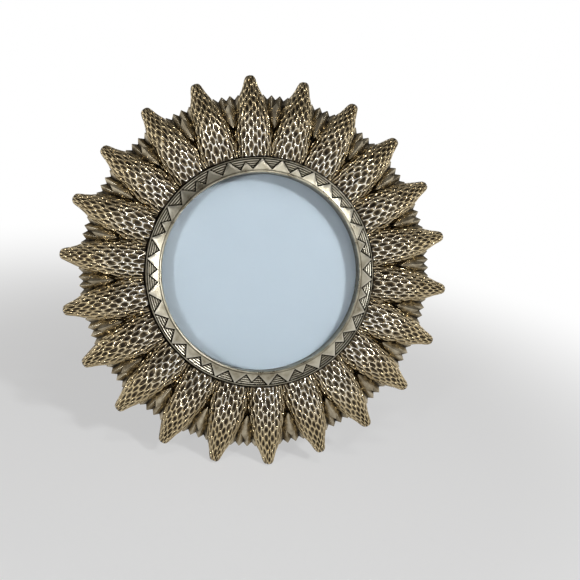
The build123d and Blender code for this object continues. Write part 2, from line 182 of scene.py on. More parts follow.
# Plain surfaces: light tone, dark tone, drift's scale, roughness, metallic, grain's scale and strength
SURFACES = {
    "print paper": ((0.51, 0.585, 0.65, 1), (0.48, 0.555, 0.62, 1), 25.0, 0.5, 0.0, 3000.0, 0.1),
    "filler card": ((0.62, 0.60, 0.55, 1), (0.54, 0.52, 0.47, 1), 90.0, 0.8, 0.0, 2500.0, 0.4),
    "hardboard": ((0.20, 0.12, 0.065, 1), (0.15, 0.085, 0.045, 1), 220.0, 0.75, 0.0, 2600.0, 0.6),
    "velour": ((0.022, 0.022, 0.024, 1), (0.014, 0.014, 0.016, 1), 160.0, 0.9, 0.0, 5200.0, 1.0),
    "plated steel": ((0.56, 0.55, 0.53, 1), (0.47, 0.46, 0.44, 1), 150.0, 0.32, 1.0, 3000.0, 0.2),
    "screw steel": ((0.50, 0.49, 0.47, 1), (0.40, 0.39, 0.37, 1), 300.0, 0.38, 1.0, 4000.0, 0.2),
}
NODE_SURFACES = {
    "photo_print": "print paper", "filler_card": "filler card",
    "backing_board": "hardboard", "easel_leg": "hardboard",
    "board_velour": "velour", "leg_velour": "velour",
    "button_screws": "screw steel", "board_rivets": "screw steel", "leg_rivets": "screw steel",
}

# Stage
FLOOR_HALF = 3.0
FLOOR_DROP = 0.0002
FLOOR_TONE = (0.90, 0.90, 0.90, 1)
SHADE_NEAR, SHADE_FAR = 0.14, 0.40
SOFT_FILL, SOFT_STRENGTH = (1.0, 0.93, 0.84, 1), 0.08
OVERHEAD_DIM = 0.8
FRONT_DIM = 0.35
LAMP_TARGET = (0, -0.01, 0.09)
LAMPS = [
    # name, place, size, power, colour
    ("key", (0.39, -0.56, 0.61), (0.09, 0.11), 1.9, (0.97, 0.985, 1.0)),
    ("top", (0.08, -0.36, 0.80), (0.16, 0.08), 0.42, (1.0, 1.0, 1.0)),
    ("window", (-0.42, -0.60, 0.24), (0.06, 0.09), 0.9, (0.95, 0.97, 1.0)),
]
CAMERA_LENS = 52.76
CAMERA_PLACE = (-55.5, -408.6, 218.2)
CAMERA_AZIMUTH, CAMERA_ELEVATION, CAMERA_ROLL = -10.27, 18.47, 8.42


# ------------ node helpers
class Term:
    """A number in a node tree, so that sums can be written as sums."""

    def __init__(self, tree, socket):
        self.tree = tree
        self.socket = socket

    def do(self, operation, *others):
        node = self.tree.nodes.new("ShaderNodeMath")
        node.operation = operation
        for place, value in enumerate((self, *others)):
            feed(self.tree, node.inputs[place], value)
        return Term(self.tree, node.outputs[0])

    def __add__(self, other):
        return self.do("ADD", other)

    def __sub__(self, other):
        return self.do("SUBTRACT", other)

    def __mul__(self, other):
        return self.do("MULTIPLY", other)

    def __truediv__(self, other):
        return self.do("DIVIDE", other)

    def __neg__(self):
        return self * -1.0

    def within(self, low, high):
        return self.do("MAXIMUM", low).do("MINIMUM", high)

    def flipped(self):
        """One minus the number."""
        return self * -1.0 + 1.0

    def ramp(self, start, end):
        """From 0 at start to 1 at end, level beyond them."""
        return ((self - start) / (end - start)).within(0.0, 1.0)

    def eased(self):
        """A number from 0 to 1 with a smooth start and end."""
        return self * self * (self * -2.0 + 3.0)


def feed(tree, socket, value):
    if isinstance(value, Term):
        value = value.socket
    if isinstance(value, bpy.types.NodeSocket):
        tree.links.new(value, socket)
    else:
        socket.default_value = value


def add_node(tree, kind, inputs=None, **settings):
    node = tree.nodes.new(kind)
    for name, value in settings.items():
        setattr(node, name, value)
    for key, value in (inputs or {}).items():
        feed(tree, node.inputs[key], value)
    return node


def result_of(tree, kind, inputs=None, **settings):
    """First output of a new node."""
    return add_node(tree, kind, inputs, **settings).outputs[0]


def term(tree, kind, inputs=None, output=0, **settings):
    return Term(tree, add_node(tree, kind, inputs, **settings).outputs[output])


def curve_term(tree, value, points):
    """Value read off a smooth curve through points."""
    node = add_node(tree, "ShaderNodeFloatCurve", {"Value": value})
    curve = node.mapping.curves[0]
    for x, y in points[1:-1]:
        curve.points.new(x, y)
    for point, place in zip(curve.points, points):
        point.location = place
        point.handle_type = "AUTO_CLAMPED"
    node.mapping.update()
    return Term(tree, node.outputs[0])


def vector_of(tree, x=0.0, y=0.0, z=0.0):
    return result_of(tree, "ShaderNodeCombineXYZ", {0: x, 1: y, 2: z})


def parts_of(tree, vector):
    node = add_node(tree, "ShaderNodeSeparateXYZ", {0: vector})
    return [Term(tree, output) for output in node.outputs]


SOCKETS = {int: "NodeSocketInt", float: "NodeSocketFloat"}


def new_tree(name, kind, inputs, outputs):
    """Node group with named inputs (each with a starting value or a socket type) and outputs."""
    tree = bpy.data.node_groups.new(name, kind)
    for label, value in inputs.items():
        if isinstance(value, str):
            tree.interface.new_socket(label, in_out="INPUT", socket_type=value)
        else:
            socket = tree.interface.new_socket(label, in_out="INPUT", socket_type=SOCKETS[type(value)])
            socket.default_value = value
    for label, socket_type in outputs.items():
        tree.interface.new_socket(label, in_out="OUTPUT", socket_type=socket_type)
    source = tree.nodes.new("NodeGroupInput")
    values = {output.name: Term(tree, output) for output in source.outputs if output.name}
    return tree, values, tree.nodes.new("NodeGroupOutput")


def geometry_tree(name, inputs):
    sockets = {"Geometry": "NodeSocketGeometry", **inputs, "Material": "NodeSocketMaterial"}
    return new_tree(name, "GeometryNodeTree", sockets, {"Geometry": "NodeSocketGeometry"})


def end_tree(tree, geometry, values, end):
    """Gives what a geometry tree has made its material and hands it over."""
    inputs = {"Geometry": geometry, "Material": values["Material"]}
    feed(tree, end.inputs[0], result_of(tree, "GeometryNodeSetMaterial", inputs))
    return tree


def grow(tree, name, source, values):
    """Runs a geometry tree on a mesh and returns the result as an object with a plain mesh."""
    piece = object_of(name, source)
    modifier = piece.modifiers.new(tree.name, "NODES")
    modifier.node_group = tree
    for item in tree.interface.items_tree:
        if item.in_out == "INPUT" and item.name in values:
            modifier[item.identifier] = values[item.name]
    graph = bpy.context.evaluated_depsgraph_get()
    mesh = bpy.data.meshes.new_from_object(
        piece.evaluated_get(graph), preserve_all_data_layers=True, depsgraph=graph
    )
    piece.modifiers.remove(modifier)
    piece.data = mesh
    mesh.name = name
    return piece


def paint(piece, material):
    """One material all over a piece."""
    piece.data.materials.clear()
    piece.data.materials.append(material)
    piece.data.polygons.foreach_set("material_index", [0] * len(piece.data.polygons))


# ------------ mesh helpers
def polar(radius, turn, height=0.0):
    return radius * math.cos(turn), radius * math.sin(turn), height


def circle(radius, height, steps):
    return [polar(radius, 2 * math.pi * step / steps, height) for step in range(steps)]


def mesh_of(name, points, faces):
    mesh = bpy.data.meshes.new(name)
    mesh.from_pydata([tuple(point) for point in points], [], faces)
    mesh.validate()
    return mesh


def object_of(name, mesh):
    piece = bpy.data.objects.new(name, mesh)
    bpy.context.collection.objects.link(piece)
    return piece


def edit(mesh, work):
    """Opens a mesh for one piece of work, which gets the open mesh, then closes it."""
    shape = bmesh.new()
    shape.from_mesh(mesh)
    work(shape)
    shape.to_mesh(mesh)
    shape.free()
    mesh.update()


def mark(mesh, name, values):
    """Stores one number at every point of a mesh."""
    numbers = mesh.attributes.new(name, "FLOAT", "POINT")
    numbers.data.foreach_set("value", values)


def face_outwards(shape):
    bmesh.ops.recalc_face_normals(shape, faces=shape.faces)


def close_ends(shape):
    bmesh.ops.holes_fill(shape, edges=shape.edges, sides=0)
    face_outwards(shape)


def tidy_shell(shape):
    bmesh.ops.remove_doubles(shape, verts=shape.verts, dist=SHELL_WELD)
    bmesh.ops.dissolve_degenerate(shape, edges=shape.edges, dist=SHELL_WELD)
    face_outwards(shape)


def band_faces(rows, width, closed, first=0):
    """Four-sided faces between rows of points numbered from first, each row closed on itself or open."""
    faces = []
    for row in range(rows - 1):
        low = first + row * width
        high = low + width
        for column in range(width if closed else width - 1):
            after = (column + 1) % width
            faces.append((low + column, low + after, high + after, high + column))
    return faces


def rows_mesh(name, rows, closed):
    faces = band_faces(len(rows), len(rows[0]), closed)
    return mesh_of(name, [point for row in rows for point in row], faces)


def lathe(name, profile, steps):
    """Closed ring from a closed profile of (radius, height) points."""
    rows = [circle(radius, height, steps) for radius, height in [*profile, profile[0]]]
    mesh = rows_mesh(name, rows, True)
    edit(mesh, tidy_shell)
    return mesh


def smooth(mesh, angle):
    """Smooth shading, with edges sharper than an angle kept sharp."""
    mesh.shade_smooth()
    mesh.set_sharp_from_angle(angle=math.radians(angle))


def bevel(piece, width, steps, angle=30):
    """Rounds every edge sharper than an angle, in the mesh itself."""
    modifier = piece.modifiers.new("bevel", "BEVEL")
    modifier.width = width
    modifier.segments = steps
    modifier.limit_method = "ANGLE"
    modifier.angle_limit = math.radians(angle)
    apply_all(piece)


def cut(piece, cutter):
    """Cuts one closed mesh out of another."""
    modifier = piece.modifiers.new("cut", "BOOLEAN")
    modifier.operation = "DIFFERENCE"
    modifier.solver = "EXACT"
    modifier.object = cutter
    apply_all(piece)


def apply_all(piece):
    graph = bpy.context.evaluated_depsgraph_get()
    mesh = bpy.data.meshes.new_from_object(piece.evaluated_get(graph), depsgraph=graph)
    piece.modifiers.clear()
    piece.data = mesh


# ------------ where the frame stands
def joint_axis(name):
    for joint in frame["record"]["behaviour"]["joints"]:
        if joint["name"] == name:
            return Vector(joint["axis"]).normalized()
    raise ValueError(name)


def stand_matrix():
    """From millimetres in the frame's plane to metres on the table."""
    backwards = joint_axis("button_turn_upper_left")
    low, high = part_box("glass_pane")
    origin = (low + high) / 2 + backwards * (GLASS_FRONT - GLASS_HALF) * MM
    up = Vector((0, -backwards.z, backwards.y))
    turn = Matrix((Vector((1, 0, 0)), up, -backwards)).transposed().to_4x4()
    return Matrix.Translation(origin) @ turn @ Matrix.Scale(MM, 4)


STAND = stand_matrix()


def finish_piece(piece, replaced=()):
    """Stands a piece of the casting up, keeps its foot on the table and makes it ride with the frame."""
    piece.data.transform(STAND)
    for vertex in piece.data.vertices:
        vertex.co.z = max(vertex.co.z, 0.0)
    piece.data.update()
    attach(piece, "frame_body")
    if replaced:
        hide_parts(*replaced)


# ------------ honeycombed petals
def position_of(tree):
    return parts_of(tree, result_of(tree, "GeometryNodeInputPosition"))


def move_points(tree, mesh, position, selection=True):
    inputs = {"Geometry": mesh, "Selection": selection, "Position": position}
    return result_of(tree, "GeometryNodeSetPosition", inputs)


def merge_points(tree, mesh, distance):
    return result_of(tree, "GeometryNodeMergeByDistance", {"Geometry": mesh, "Distance": distance})


def read(tree, name):
    return term(tree, "GeometryNodeInputNamedAttribute", {"Name": name}, data_type="FLOAT")


def store(tree, mesh, name, value, domain="POINT", selection=True):
    inputs = {"Geometry": mesh, "Selection": selection, "Name": name, "Value": value}
    return result_of(tree, "GeometryNodeStoreNamedAttribute", inputs, data_type="FLOAT", domain=domain)


def drop_faces(tree, mesh, selection):
    inputs = {"Geometry": mesh, "Selection": selection}
    return result_of(tree, "GeometryNodeDeleteGeometry", inputs, domain="FACE", mode="ALL")


def long_cell(tree, values):
    """Six-sided cell, drawn out along the petal."""
    ring = result_of(tree, "GeometryNodeMeshCircle", {"Vertices": 6, "Radius": 1.0}, fill_type="NGON")
    corner_x, corner_y, _ = position_of(tree)
    reach = corner_x.do("ABSOLUTE") * 2.0 * (values["Cell Width"] - values["Cell End"])
    reach = reach - values["Cell Width"] + values["Cell End"] * 1.5
    cell_x = corner_x.do("SIGN") * reach
    cell_y = corner_y / math.sin(math.pi / 3) * values["Cell Length"] * 0.5
    return move_points(tree, ring, vector_of(tree, cell_x, cell_y))


def honeycomb_lattice(tree, values):
    """Flat honeycomb, one lane for each petal, columns set half a cell apart."""
    index = term(tree, "GeometryNodeInputIndex")
    per_petal = values["Columns"] * values["Rows"]
    petal = (index / per_petal + NUDGE).do("FLOOR")
    rest = index - petal * per_petal
    column = (rest / values["Rows"] + NUDGE).do("FLOOR")
    row = rest - column * values["Rows"]
    x = (column - (values["Columns"] - 1.0) * 0.5) * values["Cell Width"]
    x = x + (petal + values["First Petal"]) * LANE
    y = (row + column.do("MODULO", 2.0) * 0.5 - ROWS_BEHIND) * values["Cell Length"]
    inputs = {"Count": per_petal * values["Petals"], "Position": vector_of(tree, x, y)}
    centres = result_of(tree, "GeometryNodePoints", inputs)
    inputs = {"Points": centres, "Instance": long_cell(tree, values)}
    placed = result_of(tree, "GeometryNodeInstanceOnPoints", inputs)
    real = result_of(tree, "GeometryNodeRealizeInstances", {0: placed})
    return merge_points(tree, real, CELL_WELD)


def wander(tree, mesh, amount, scale):
    """Moves the points of a flat mesh by smooth noise, so that no two cells are the same."""
    position = result_of(tree, "GeometryNodeInputPosition")
    noise = add_node(tree, "ShaderNodeTexNoise", {"Vector": position, "Scale": scale, "Detail": 1.0})
    middle = {0: noise.outputs["Color"], 1: (0.5, 0.5, 0.5)}
    shift = result_of(tree, "ShaderNodeVectorMath", middle, operation="SUBTRACT")
    sized = result_of(tree, "ShaderNodeVectorMath", {0: shift, "Scale": amount}, operation="SCALE")
    x, y, _ = parts_of(tree, sized)
    inputs = {"Geometry": mesh, "Offset": vector_of(tree, x, y)}
    return result_of(tree, "GeometryNodeSetPosition", inputs)


def petal_form(tree):
    """Where a flat lattice point lies on its petal.

    The petal's number, the place along it as it is and kept between the petal's ends, the roll over the
    crown, the span of the section there, its width and its rise.
    """
    x, y, _ = position_of(tree)
    petal = (x / LANE).do("ROUND")
    across = x - petal * LANE
    along = y / PETAL_REACH
    place = along.within(START_PLACE, 1.0)
    width = curve_term(tree, place, WIDTH_CURVE) * PETAL_HALF_WIDTH
    rise = curve_term(tree, place, RISE_CURVE) * PETAL_RISE
    span = ((width + rise) * 0.5).do("MAXIMUM", LEAST_SIZE)
    drawn = (span / WIDEST_SPAN).do("POWER", 0.5)
    return petal, along, place, across * drawn / span, span, width, rise


def sink(tree, mesh, top, scale, depth, pit_value):
    """Sinks faces straight down as smaller faces, and records how far into the pit they lie."""
    inputs = {"Mesh": mesh, "Selection": top, "Offset Scale": -depth, "Individual": True}
    sunk = add_node(tree, "GeometryNodeExtrudeMesh", inputs, mode="FACES")
    floor = sunk.outputs["Top"]
    inputs = {"Geometry": sunk.outputs["Mesh"], "Selection": floor, "Scale": scale}
    shrunk = result_of(tree, "GeometryNodeScaleElements", inputs, domain="FACE")
    return store(tree, shrunk, "pit", pit_value, selection=floor), floor


def pitted_cells(tree, mesh, values):
    """Three steps down into every cell, its depth a little different from its neighbours'."""
    inputs = {2: DEPTH_LEAST, 3: DEPTH_MOST, "Seed": DEPTH_SEED}
    chance = add_node(tree, "FunctionNodeRandomValue", inputs, data_type="FLOAT")
    mesh = store(tree, mesh, "depth", Term(tree, chance.outputs[1]) * values["Pit Depth"], "FACE")
    mesh = store(tree, mesh, "pit", 0.0)
    depth = read(tree, "depth")
    _, y, _ = position_of(tree)
    openness = (y / PETAL_REACH).ramp(*OPEN_PITS)
    step = openness * (values["Wall Share"] - values["Outer Wall Share"]) + values["Outer Wall Share"]
    floor = True
    # Each step down stores a higher pit value, so the cell is painted darker inwards: patina and painted
    # shade.
    for scale, share, pit_value in ((step, 0.25, 0.35), (step * 0.9, 0.50, 0.8), (0.66, 0.25, 1.0)):
        mesh, floor = sink(tree, mesh, floor, scale, depth * share, pit_value)
    return result_of(tree, "GeometryNodeSubdivisionSurface", {"Mesh": mesh, "Level": 1})


def trim_to_petals(tree, flat):
    """Drops the faces that hang over a petal's edge, and draws the end rows onto the petal's ends."""
    _, along, place, angle, _, _, _ = petal_form(tree)
    outside = (angle.do("ABSOLUTE") - QUARTER).do("GREATER_THAN", 0.0)
    outside = outside.do("MAXIMUM", along.do("GREATER_THAN", 1.0))
    outside = outside.do("MAXIMUM", along.do("LESS_THAN", START_PLACE))
    kept = drop_faces(tree, flat, outside)
    near_start = (along - START_PLACE).do("LESS_THAN", START_SNAP / PETAL_REACH)
    near_tip = along.flipped().do("LESS_THAN", TIP_SNAP / PETAL_REACH)
    snapped = place * near_start.flipped() + near_start * START_PLACE
    snapped = snapped * near_tip.flipped() + near_tip
    x, _, z = position_of(tree)
    return move_points(tree, kept, vector_of(tree, x, snapped * PETAL_REACH, z))


def onto_petals(tree, flat):
    """Wraps the flat honeycomb over its petals, its depth square to the skin and none at the edges."""
    petal, _, place, angle, span, width, rise = petal_form(tree)
    low = (span * (-angle.do("ABSOLUTE") + QUARTER)).do("LESS_THAN", FOOT_SNAP)
    roll = angle.within(-QUARTER, QUARTER)
    roll = roll * low.flipped() + angle.do("SIGN") * low * QUARTER
    side, up = roll.do("SINE"), roll.do("COSINE")
    for name, value in (("petal", petal), ("along", place), ("crown", up)):
        flat = store(tree, flat, name, value)
    _, _, z = position_of(tree)
    flat_tip = place.ramp(*FLAT_TIP)
    flat_side = roll.do("ABSOLUTE").ramp(*FLAT_SIDE)
    depth = z * flat_tip * flat_side
    across, out = rise * side, width * up
    length = (across * across + out * out).do("SQRT").do("MAXIMUM", LEAST_SIZE)
    radius = place * PETAL_REACH + PETAL_START
    sideways = -(width * side + across / length * depth)
    height = rise * up + UNDERSIDE + out / length * depth
    turn = petal * PITCH + FIRST_ANGLE
    x_out = radius * turn.do("COSINE") - sideways * turn.do("SINE")
    y_out = radius * turn.do("SINE") + sideways * turn.do("COSINE")
    return move_points(tree, flat, vector_of(tree, x_out, y_out, height))


def petal_tree():
    """Honeycombed skin of some petals, with a skirt down to their underside."""
    inputs = {
        "Petals": 11, "First Petal": 0, "Columns": 17, "Rows": 11, "Cell Width": 2.25, "Cell Length": 5.5,
        "Cell End": 1.7, "Crowding": 0.09, "Wander": 4.4, "Pit Depth": 0.8,
        "Wall Share": 0.93, "Outer Wall Share": 0.88,
    }
    tree, values, end = geometry_tree("honeycomb petals", inputs)
    flat = honeycomb_lattice(tree, values)
    x, y, _ = position_of(tree)
    crowded = vector_of(tree, x, y - y * y * values["Crowding"] / PETAL_REACH)
    flat = wander(tree, move_points(tree, flat, crowded), values["Wander"], WANDER_SCALE)

    _, along, _, angle, span, _, _ = petal_form(tree)
    far = (angle.do("ABSOLUTE") * span - EDGE_SPARE - span * math.pi / 2).do("GREATER_THAN", 0.0)
    far = far.do("MAXIMUM", along.do("GREATER_THAN", TIP_SPARE))
    far = far.do("MAXIMUM", along.do("LESS_THAN", START_SPARE))
    cells = pitted_cells(tree, drop_faces(tree, flat, far), values)
    bent = onto_petals(tree, trim_to_petals(tree, cells))

    lone = term(tree, "GeometryNodeInputMeshEdgeNeighbors").do("LESS_THAN", 1.5)
    inputs = {"Mesh": bent, "Selection": lone, "Offset Scale": 0.0}
    skirt = add_node(tree, "GeometryNodeExtrudeMesh", inputs, mode="EDGES")
    now_x, now_y, _ = position_of(tree)
    foot = vector_of(tree, now_x, now_y, UNDERSIDE)
    stood = move_points(tree, skirt.outputs["Mesh"], foot, skirt.outputs["Top"])
    real = result_of(tree, "GeometryNodeRealizeInstances", {0: merge_points(tree, stood, SKIRT_WELD)})
    return end_tree(tree, real, values, end)


def pocket_points(petal, floor, growth):
    """Rows of points over the cored pocket under a petal, from one end to the other."""
    turn = FIRST_ANGLE + petal * PITCH
    out = Vector((math.cos(turn), math.sin(turn), 0))
    side = Vector((-math.sin(turn), math.cos(turn), 0))
    last = len(POCKET_SECTIONS) - 1
    rows = []
    for number, (place, width, rise) in enumerate(POCKET_SECTIONS):
        half = PETAL_HALF_WIDTH * width - POCKET_WALL + growth
        top = UNDERSIDE + PETAL_RISE * rise - POCKET_WALL + growth
        low = math.asin(max(floor, 0.0) / top)
        radius = PETAL_START + PETAL_REACH * place
        radius += {0: -growth, last: growth}.get(number, 0.0)
        row = []
        for step in range(ARCH_STEPS + 1):
            angle = low + (math.pi - 2 * low) * step / ARCH_STEPS
            row.append(out * radius + side * half * math.cos(angle) + Vector((0, 0, top * math.sin(angle))))
        if floor < 0:
            row.insert(0, out * radius + side * half + Vector((0, 0, floor)))
            row.append(out * radius - side * half + Vector((0, 0, floor)))
        rows.append(row)
    return rows


def add_pocket(shape, petal):
    """Adds the domed pocket to an open petal shell and returns its corners."""
    number = shape.verts.layers.float["petal"]
    rows = [[shape.verts.new(point) for point in row] for row in pocket_points(petal, UNDERSIDE, 0.0)]
    corners = [corner for row in rows for corner in row]
    for corner in corners:
        corner[number] = petal
    for low, high in zip(rows, rows[1:]):
        for step in range(len(low) - 1):
            shape.faces.new((low[step], low[step + 1], high[step + 1], high[step]))
    shape.faces.new(rows[0])
    shape.faces.new(rows[-1])
    return corners


def times_round(point, edges):
    """How many times the directed edges go round a point in the plane."""
    times = 0
    for start, end in edges:
        if (start.y > point.y) != (end.y > point.y):
            across = start.x + (point.y - start.y) * (end.x - start.x) / (end.y - start.y)
            if across > point.x:
                times += 1 if end.y > start.y else -1
    return times


def fill_between(shape, edges, inner):
    """Fills the plane between an outline, which may cross itself, and the mouth of a pocket."""
    corners = list(dict.fromkeys(corner for edge in edges for corner in edge.verts))
    place = {corner: number for number, corner in enumerate(corners)}
    pairs = [tuple(place[corner] for corner in edge.verts) for edge in edges]
    flat = [corner.co.xy for corner in corners]
    points, _, faces, sources, _, _ = delaunay_2d_cdt(flat, pairs, [], 0, FILL_WELD)
    outline, mouth = [], []
    for edge in edges:
        loop = edge.link_loops[0]
        ends = (loop.vert.co.xy, loop.link_loop_next.vert.co.xy)
        (mouth if edge.verts[0] in inner else outline).append(ends)
    used = [
        corners[source[0]] if source else shape.verts.new((point.x, point.y, UNDERSIDE))
        for point, source in zip(points, sources)
    ]
    for face in faces:
        middle = sum((points[number] for number in face), Vector((0, 0))) / len(face)
        wanted = times_round(middle, outline) and not times_round(middle, mouth)
        face_corners = [used[number] for number in reversed(face)]
        if wanted and not shape.faces.get(face_corners):
            shape.faces.new(face_corners)


def close_underside(shape, first, count):
    """Fills the flat underside of every petal between its outline and the mouth of its pocket."""
    loose = [edge for edge in shape.edges if not edge.link_faces]
    bmesh.ops.delete(shape, geom=loose, context="EDGES")
    bmesh.ops.remove_doubles(shape, verts=shape.verts, dist=UNDERSIDE_WELD)
    face_outwards(shape)
    inner = set()
    for petal in range(first, first + count):
        inner.update(add_pocket(shape, petal))
    face_outwards(shape)
    number = shape.verts.layers.float["petal"]
    groups = {}
    for edge in shape.edges:
        if len(edge.link_faces) == 1:
            groups.setdefault(round(edge.verts[0][number]), []).append(edge)
    for edges in groups.values():
        fill_between(shape, edges, inner)
    face_outwards(shape)
    # Painted shade: the flat underside is darkened, as shade falls under the petals.
    pit = shape.verts.layers.float["pit"]
    for corner in shape.verts:
        if corner.co.z < UNDERSIDE + UNDERSIDE_WELD:
            corner[pit] = UNDERSIDE_PIT


def make_petals(material):
    tree = petal_tree()
    half = PETALS // 2
    pieces = []
    for name, first in (("petals_left", 0), ("petals_right", half)):
        values = {"Petals": half, "First Petal": first, "Material": material}
        piece = grow(tree, name, bpy.data.meshes.new(name), values)
        edit(piece.data, lambda shape, first=first: close_underside(shape, first, half))
        paint(piece, material)
        smooth(piece.data, 50)
        pieces.append(piece)
    return pieces


# ------------ the casting between the petals
def repeat_tree():
    """Repeats a shape round the frame's axis and joins the copies where they touch."""
    inputs = {"Count": PETALS, "First Turn": 0.0, "Step": PITCH, "Merge": 0.001}
    tree, values, end = geometry_tree("repeat round the frame", inputs)
    index = term(tree, "GeometryNodeInputIndex")
    points = result_of(tree, "GeometryNodePoints", {"Count": values["Count"]})
    turn = vector_of(tree, 0.0, 0.0, index * values["Step"] + values["First Turn"])
    inputs = {"Points": points, "Instance": values["Geometry"], "Rotation": turn}
    placed = result_of(tree, "GeometryNodeInstanceOnPoints", inputs)
    real = result_of(tree, "GeometryNodeRealizeInstances", {0: placed})
    return end_tree(tree, merge_points(tree, real, values["Merge"]), values, end)


def make_cores():
    """The petals' pockets, a little larger and open downwards, as cutters."""
    points, faces = [], []
    for petal in range(PETALS):
        rows = pocket_points(petal, CORE_FOOT, CORE_SPARE)
        width, first = len(rows[0]), len(points)
        points += [point for row in rows for point in row]
        faces += band_faces(len(rows), width, True, first)
        faces.append(tuple(range(first, first + width)))
        faces.append(tuple(range(len(points) - width, len(points))))
    mesh = mesh_of("cores", points, faces)
    edit(mesh, face_outwards)
    return object_of("cores", mesh)


def make_base(material, cores):
    piece = object_of("casting_base", lathe("casting_base", BASE_PROFILE, PETALS * 8))
    bevel(piece, 0.2, 2)
    # Painted shade and patina: the whole base between the petals is darkened.
    mark(piece.data, "pit", [BASE_PIT] * len(piece.data.vertices))
    cut(piece, cores)
    paint(piece, material)
    smooth(piece.data, 30)
    return piece


def make_rim(material, cores, repeat):
    """Serrated rim: six pointed teeth to a petal, each with a ridge that rises inwards."""
    pitch = PITCH / TEETH
    low, high = (TOOTH_VALLEY, VALLEY_HEIGHT), (TOOTH_TIP, TOOTH_RIDGE)
    columns = []
    for place, (reach, ridge) in ((-0.5, low), (-0.03, high), (0.03, high), (0.5, low)):
        profile = [
            (RIM_START, 0), (RIM_START, ridge), (reach - TOOTH_SLOPE, ridge), (reach, TOOTH_EDGE),
            (reach, 0), (RIM_START, 0),
        ]
        columns.append([polar(radius, place * pitch, height) for radius, height in profile])
    tooth = rows_mesh("tooth", list(zip(*columns)), False)
    # Painted shade and patina: the teeth darkened except along their ridges near the points.
    shaded_row, unshaded_ridge_row = [TOOTH_PIT] * 4, [TOOTH_PIT, 0.0, 0.0, TOOTH_PIT]
    mark(tooth, "pit", shaded_row * 2 + unshaded_ridge_row * 2 + shaded_row * 2)
    values = {"Count": TEETH * PETALS, "Step": pitch, "First Turn": pitch / 2, "Merge": 0.02}
    piece = grow(repeat, "serrated_rim", tooth, {**values, "Material": material})
    edit(piece.data, tidy_shell)
    bevel(piece, 0.13, 1, 20)
    cut(piece, cores)
    paint(piece, material)
    smooth(piece.data, 25)
    return piece


def make_leaves(material, repeat):
    """Kite-shaped leaf in each gap, with a ridge that falls towards its tip."""
    inner, wide, tip, half = 70.5, 77.8, 82.8, 3.9
    ridge, drop, side, foot_height = 8.6, 1.7, 2.6, 0.2

    def ridge_height(radius):
        return ridge - drop * (radius - inner) / (tip - inner)

    top = [
        (inner, 0, ridge_height(inner)),
        (wide, half, ridge_height(wide) - side),
        (tip, 0, ridge_height(tip)),
        (wide, -half, ridge_height(wide) - side),
    ]
    foot = [(x, y, foot_height) for x, y, _ in top]
    faces = [(0, 1, 2), (0, 2, 3), (4, 7, 6, 5)]
    faces += [(k, k + 4, (k + 1) % 4 + 4, (k + 1) % 4) for k in range(4)]
    leaf = mesh_of("leaf", top + foot, faces)
    edit(leaf, face_outwards)
    # Painted shade and patina: the leaf is darkest at its foot, lighter on its sides and inner end, and not
    # darkened at its tip.
    mark(leaf, "pit", [0.1, 0.35, 0.0, 0.35, 1.0, 1.0, 1.0, 1.0])
    values = {"Count": PETALS, "First Turn": QUARTER, "Material": material}
    piece = grow(repeat, "gap_leaves", leaf, values)
    bevel(piece, 0.16, 2, 12)
    smooth(piece.data, 25)
    return piece


def add_boss(shape, centre):
    """One boss with a blind hole from below, as rings of corners round its axis."""
    radius, height, hole, depth = 4.2, 10.4, 1.35, 8.0
    profile = [(0, depth), (hole, depth), (hole, 0), (radius, 0), (radius, height), (0, height)]
    steps = 32
    rings = []
    for reach, level in profile:
        spots = circle(reach, level, steps if reach else 1)
        rings.append([shape.verts.new(centre + Vector(spot)) for spot in spots])
    for low, high in zip(rings, rings[1:]):
        for step in range(steps):
            ends = (step, step + 1)
            corners = [low[end % len(low)] for end in ends]
            corners += [high[end % len(high)] for end in reversed(ends)]
            shape.faces.new(list(dict.fromkeys(corners)))


def make_bosses(material):
    """Four screw bosses in the casting's back."""
    mesh = bpy.data.meshes.new("screw_bosses")
    shape = bmesh.new()
    for gap in BOSS_GAPS:
        add_boss(shape, Vector(polar(BOSS_CIRCLE, QUARTER - (gap + 0.5) * PITCH)))
    face_outwards(shape)
    shape.to_mesh(mesh)
    shape.free()
    mesh.materials.append(material)
    smooth(mesh, 30)
    return object_of("screw_bosses", mesh)


# ------------ bezel ring
def zigzag_radius(turn):
    """Radius of the zigzag's edge at a turn inside one period, on straight lines between its corners."""
    for (low, low_radius), (high, high_radius) in zip(ZIGZAG, ZIGZAG[1:]):
        if turn <= high * RING_PERIOD + 1e-9:
            break
    before, after = turn - low * RING_PERIOD, high * RING_PERIOD - turn
    whole = (high - low) * RING_PERIOD
    across = low_radius * math.sin(before) + high_radius * math.sin(after)
    return low_radius * high_radius * math.sin(whole) / across


def slope(radius):
    """Height of the band's sloping face."""
    share = (radius - SIGHT - LIP_WIDTH) / (RING_RADIUS - SIGHT - LIP_WIDTH)
    return BAND_TOP - (BAND_TOP - EDGE_TOP) * max(0.0, share)


def ring_lip():
    """Inner wall of the ring, the bead on it and the groove round the bead."""
    # The third values are painted shade and patina: the inner wall darker towards the glass, the groove
    # behind the bead dark.
    section = [(SIGHT, GLASS_FRONT, 0.6), (SIGHT, BAND_TOP - 1.2, 0.42), (SIGHT, BAND_TOP - 0.1, 0.3)]
    for step in range(BEAD_STEPS + 1):
        angle = math.pi * step / BEAD_STEPS
        radius = SIGHT + BEAD_RADIUS - BEAD_RADIUS * math.cos(angle)
        section.append((radius, BAND_TOP + BEAD_HEIGHT * math.sin(angle), 0.0))
    return section + [(49.33, BAND_TOP - 0.22, 0.7), (49.46, BAND_TOP - 0.02, 0.1)]


